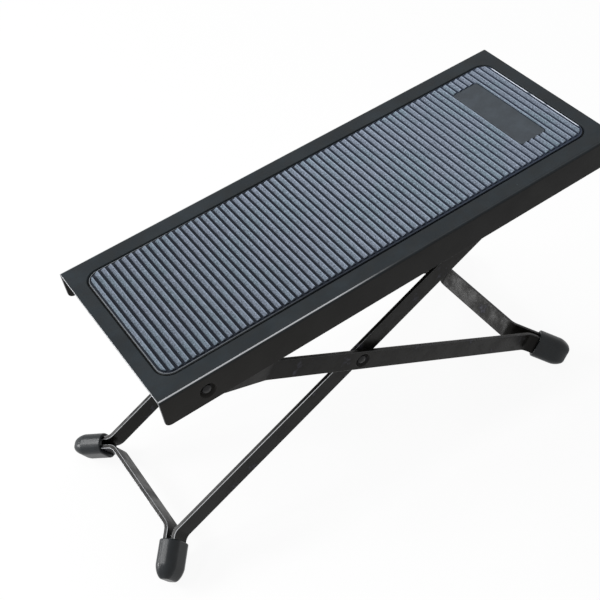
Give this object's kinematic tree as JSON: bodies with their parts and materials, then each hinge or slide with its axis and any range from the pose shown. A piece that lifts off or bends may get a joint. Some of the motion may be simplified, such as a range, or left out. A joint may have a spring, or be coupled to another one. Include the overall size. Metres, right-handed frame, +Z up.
{
  "type": "guitar footrest",
  "caption": "Folding guitar footrest: steel platform with a ribbed rubber mat on crossed strap frames with rubber foot caps, adjustable in height.",
  "frame": {"origin": "on the floor, under the middle of the footrest's box", "axes": "+X along the platform towards its raised end, +Y across it away from the picture's camera, +Z up"},
  "size_m": [0.3214, 0.1328, 0.1763],
  "materials": {
    "platform_paint": "satin black powder paint",
    "mat_rubber": "moulded grey rubber with a fine grain",
    "leg_paint": "semi-gloss black paint",
    "rivet_steel": "blackened steel",
    "washer_steel": "zinc plated",
    "cap_rubber": "moulded dark grey rubber, slightly shiny"
  },
  "bodies": {
    "platform": {"platform": "platform_paint", "rubber_mat": "mat_rubber", "rack_rail_near": "platform_paint", "rack_rail_far": "platform_paint", "platform_rivet_near": "rivet_steel", "platform_rivet_far": "rivet_steel", "platform_rivet_near_washer": "washer_steel", "platform_rivet_far_washer": "washer_steel"},
    "outer_leg": {"outer_leg_frame": "leg_paint", "foot_cap_right_near": "cap_rubber", "foot_cap_right_far": "cap_rubber", "scissor_rivet_near": "rivet_steel", "scissor_rivet_far": "rivet_steel", "scissor_rivet_near_washer": "washer_steel", "scissor_rivet_far_washer": "washer_steel"},
    "inner_leg": {"inner_leg_frame": "leg_paint", "height_rod": "leg_paint", "foot_cap_left_near": "cap_rubber", "foot_cap_left_far": "cap_rubber"}
  },
  "joints": [
    {"name": "platform_pivot", "type": "hinge", "parent": "platform", "child": "outer_leg", "pos_m": [-0.11282, 0, 0.14141], "axis": [0, -1, 0], "range_deg": [-11.1, 28.2]},
    {"name": "scissor_pivot", "type": "hinge", "parent": "outer_leg", "child": "inner_leg", "pos_m": [-0.0112, 0, 0.08804], "axis": [0, -1, 0], "range_deg": [-49.59, 19.58]}
  ],
  "couplings": [
    {"joint": "scissor_pivot", "follows": "platform_pivot", "ratio": -1.755}
  ]
}
